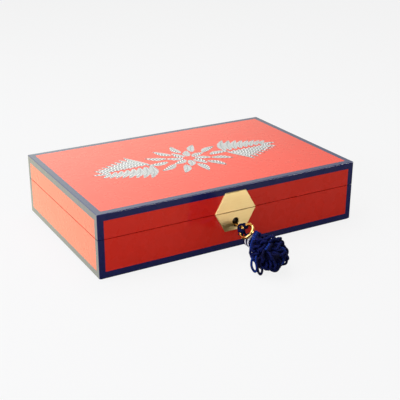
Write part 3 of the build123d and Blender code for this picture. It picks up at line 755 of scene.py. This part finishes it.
def make_ring_rolls():
    low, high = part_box("ring_rolls")
    pitch = ROLL_ROW / ROLL_COUNT
    width = pitch - ROLL_GAP
    half = (high.z - low.z) / 2
    squareness, pinch, pinch_length = 0.62, 0.35, 0.0022
    rings, sides = 40, 28
    for n in range(ROLL_COUNT):
        y = -ROLL_ROW / 2 + pitch * (n + 0.5)
        verts = []
        for i in range(rings + 1):
            t = i / rings
            x = low.x + (high.x - low.x) * t
            edge = min(t, 1 - t) * (high.x - low.x)
            pull = 1 - pinch * math.exp(-edge / pinch_length)
            wave = 1 + 0.006 * math.sin(17 * t + n) + 0.004 * math.sin(41 * t + 2 * n)
            for k in range(sides):
                a = 2 * math.pi * k / sides
                c, s = math.cos(a), math.sin(a)
                px = math.copysign(abs(c) ** squareness, c) * width / 2
                pz = math.copysign(abs(s) ** squareness, s)
                top = s > 0
                z = low.z + half + pz * half * (pull * wave if top else 1)
                verts.append((x, y + px * (pull if top else 1), z))
        piece = make_object(f"ring_roll_{n + 1}", verts, tube_faces(rings, sides), MATS["suede"])
        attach(piece, "base")
        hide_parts("ring_rolls")


make_lid_pad()
make_ring_rolls()


# Floor, world and lamps
def shader(tree, kind, colour):
    node = tree.nodes.new(kind)
    node.inputs["Color"].default_value = (*colour, 1)
    return node


def place_in(tree, output):
    """The x and y of a place on the floor, or of a direction in the world."""
    coords = tree.nodes.new("ShaderNodeTexCoord")
    split = tree.nodes.new("ShaderNodeSeparateXYZ")
    tree.links.new(coords.outputs[output], split.inputs[0])
    return split.outputs[0], split.outputs[1]


def ramp(tree, value, low, high, to_low, to_high, smooth=False):
    node = tree.nodes.new("ShaderNodeMapRange")
    if smooth:
        node.interpolation_type = "SMOOTHSTEP"
    for n, v in enumerate((low, high, to_low, to_high)):
        node.inputs[n + 1].default_value = v
    tree.links.new(value, node.inputs[0])
    return node.outputs[0]


def join(tree, operation, a, b):
    node = tree.nodes.new("ShaderNodeMath")
    node.operation = operation
    tree.links.new(a, node.inputs[0])
    tree.links.new(b, node.inputs[1])
    return node.outputs[0]


def by_ray(tree, out, other, mirrored, seen):
    """Glossy rays meet mirrored, camera rays seen, and all the rest other."""
    paths = tree.nodes.new("ShaderNodeLightPath")
    result = other
    for ray, chosen in (("Is Glossy Ray", mirrored), ("Is Camera Ray", seen)):
        mix = tree.nodes.new("ShaderNodeMixShader")
        tree.links.new(paths.outputs[ray], mix.inputs[0])
        tree.links.new(result.outputs[0], mix.inputs[1])
        tree.links.new(chosen.outputs[0], mix.inputs[2])
        result = mix
    tree.links.new(result.outputs[0], out.inputs["Surface"])


def make_floor():
    size, level, shadow_share = 3.0, -0.0002, 0.07
    mesh = bpy.data.meshes.new("floor")
    mesh.from_pydata([(-size, -size, level), (size, -size, level), (size, size, level),
                      (-size, size, level)], [], [(0, 1, 2, 3)])
    floor = bpy.data.objects.new("floor", mesh)
    bpy.context.scene.collection.objects.link(floor)
    mat = bpy.data.materials.new("floor")
    mat.use_nodes = True
    tree = mat.node_tree
    tree.nodes.clear()
    out = tree.nodes.new("ShaderNodeOutputMaterial")
    seen = tree.nodes.new("ShaderNodeMixShader")
    seen.inputs[0].default_value = shadow_share
    plain = shader(tree, "ShaderNodeEmission", BACKDROP)
    lit = shader(tree, "ShaderNodeBsdfDiffuse", (0.84, 0.84, 0.84))
    tree.links.new(plain.outputs[0], seen.inputs[1])
    tree.links.new(lit.outputs[0], seen.inputs[2])

    # Reflections see a bright floor beside the box and a dim one in front of it
    x, y = place_in(tree, "Object")
    beside = join(tree, "MULTIPLY", ramp(tree, y, -0.1035, -0.1015, 0.0, 1.0, smooth=True),
                  ramp(tree, x, -0.7, -0.16, 1.65, 1.35))
    before = ramp(tree, y, -0.80, -0.12, 0.50, 0.10)
    strength = join(tree, "MULTIPLY", join(tree, "MAXIMUM", beside, before),
                    ramp(tree, x, -0.16, 0.30, 1.0, 0.8, smooth=True))
    mirrored = shader(tree, "ShaderNodeEmission", (0.96, 0.97, 0.64))
    tree.links.new(strength, mirrored.inputs["Strength"])
    by_ray(tree, out, shader(tree, "ShaderNodeBsdfDiffuse", (0.42, 0.42, 0.42)), mirrored, seen)
    mesh.materials.append(mat)


def make_world():
    world = bpy.data.worlds.new("world")
    bpy.context.scene.world = world
    world.use_nodes = True
    tree = world.node_tree
    tree.nodes.clear()
    out = tree.nodes.new("ShaderNodeOutputWorld")
    fill = shader(tree, "ShaderNodeBackground", (0.95, 0.97, 1.0))
    fill.inputs["Strength"].default_value = 0.35

    # Reflections see a sky that is brighter on the left and darker in front
    x, y = place_in(tree, "Generated")
    mirrored = shader(tree, "ShaderNodeBackground", (0.92, 0.98, 0.80))
    strength = join(tree, "MULTIPLY", ramp(tree, x, 0.30, 0.60, 1.35, 0.52),
                    ramp(tree, y, -0.5, 0.0, 0.12, 1.0))
    tree.links.new(strength, mirrored.inputs["Strength"])
    by_ray(tree, out, fill, mirrored, shader(tree, "ShaderNodeBackground", BACKDROP))


def lamp(name, place, aim, size, power, colour=(1, 1, 1)):
    data = bpy.data.lights.new(name, "AREA")
    data.shape = "RECTANGLE"
    data.size, data.size_y = size
    data.energy = power
    data.color = colour
    light = bpy.data.objects.new(name, data)
    place, aim = Vector(place), Vector(aim)
    turn = (aim - place).to_track_quat("-Z", "Y").to_matrix().to_4x4()
    light.matrix_world = Matrix.Translation(place) @ turn
    bpy.context.scene.collection.objects.link(light)
    return light


make_floor()
make_world()

# Lamps: place, aim, width and height, power, colour
lamp("top_light", (-0.2, 0.25, 1.3), (0, 0, 0.03), (1.4, 1.0), 17.0)
lamp("left_light", (-1.3, 0.1, 0.55), (0, 0, 0.03), (0.9, 0.7), 15.0, (0.80, 0.80, 1.0))
lamp("front_light", (-0.75, -0.8, 0.5), (0, 0, 0.03), (0.6, 0.4), 2.3)
# Diffuse rays don't see this one: it is there for what the brass plate reflects
lamp("plate_light", (0.75, -1.2, 0.12), (0, -0.1, 0.03), (0.9, 0.22), 11.0).visible_diffuse = False
